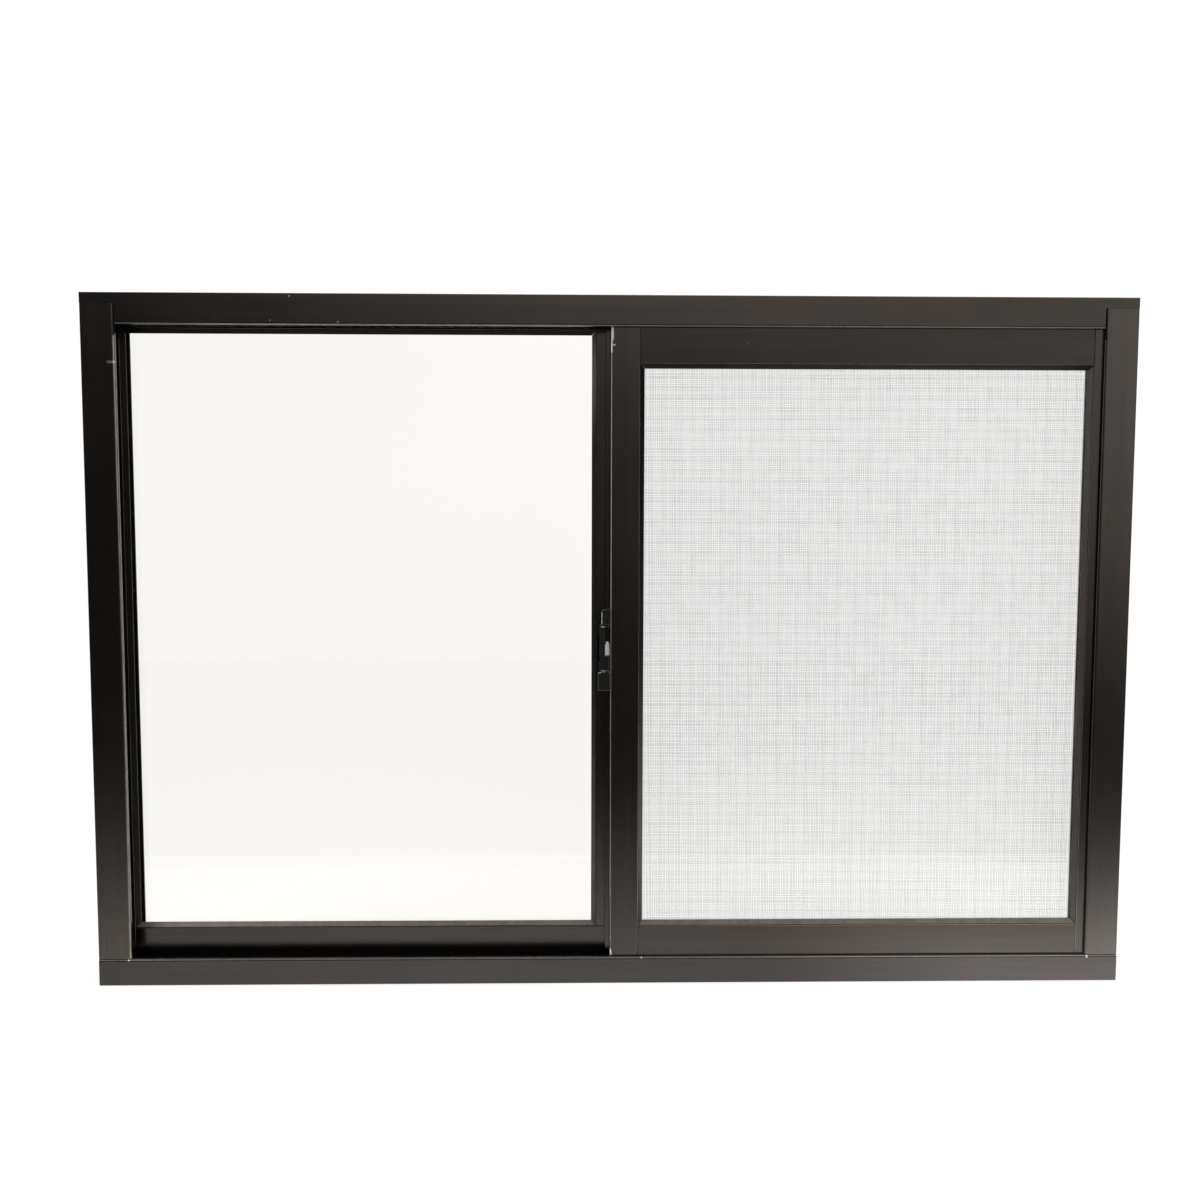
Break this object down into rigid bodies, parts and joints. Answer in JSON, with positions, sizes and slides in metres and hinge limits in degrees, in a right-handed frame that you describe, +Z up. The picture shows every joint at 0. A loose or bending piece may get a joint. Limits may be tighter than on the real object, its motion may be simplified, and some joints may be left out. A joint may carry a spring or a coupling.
{
  "type": "aluminium sliding window",
  "caption": "Dark bronze aluminium horizontal slider: fixed light at the left, sliding sash with a finger latch at the right, insect screen behind it, nail-on flange all round.",
  "frame": {"origin": "on the back face of the sill flange, at the middle of the width and of the flange's free 12 mm leg", "axes": "+X along the width to the right as seen from the room, +Y from the room into the wall, +Z up"},
  "size_m": [0.9, 0.0616, 0.6],
  "materials": {
    "bronze_aluminium": "dark bronze anodised, satin",
    "bead_aluminium": "bronze anodised, a little lighter and duller",
    "clear_glass": "clear float glass, 4 mm",
    "grey_pile": "dark grey brushed pile",
    "black_nylon": "black moulded plastic",
    "bare_metal": "bright, uncoated",
    "black_rubber": "black cord, matt",
    "screen_wire": "plain wire, light grey"
  },
  "bodies": {
    "root": {"frame_sill": "bronze_aluminium", "frame_head": "bronze_aluminium", "frame_left_jamb": "bronze_aluminium", "frame_right_jamb": "bronze_aluminium", "fixed_mullion": "bronze_aluminium", "sash_meeting_stile": "bronze_aluminium", "sash_closing_stile": "bronze_aluminium", "sash_bottom_rail": "bronze_aluminium", "sash_top_rail": "bronze_aluminium", "latch_body": "bronze_aluminium", "latch_lever": "bronze_aluminium", "screen_bottom_rail": "bronze_aluminium", "screen_top_rail": "bronze_aluminium", "screen_left_stile": "bronze_aluminium", "screen_right_stile": "bronze_aluminium", "fixed_bead_bottom": "bead_aluminium", "fixed_bead_top": "bead_aluminium", "fixed_bead_left": "bead_aluminium", "fixed_bead_right": "bead_aluminium", "sash_bead_bottom": "bead_aluminium", "sash_bead_top": "bead_aluminium", "sash_bead_left": "bead_aluminium", "sash_bead_right": "bead_aluminium", "fixed_glass": "clear_glass", "sash_glass": "clear_glass", "sash_pile_bottom": "grey_pile", "sash_pile_top": "grey_pile", "sash_pile_closing": "grey_pile", "sash_glide_left": "black_nylon", "sash_glide_right": "black_nylon", "screen_corner_bottom_left": "black_nylon", "screen_corner_top_left": "black_nylon", "screen_corner_top_right": "black_nylon", "screen_corner_bottom_right": "black_nylon", "latch_tongue": "bare_metal", "screen_spline_bottom": "black_rubber", "screen_spline_top": "black_rubber", "screen_spline_left": "black_rubber", "screen_spline_right": "black_rubber", "screen_mesh": "screen_wire"}
  },
  "joints": []
}
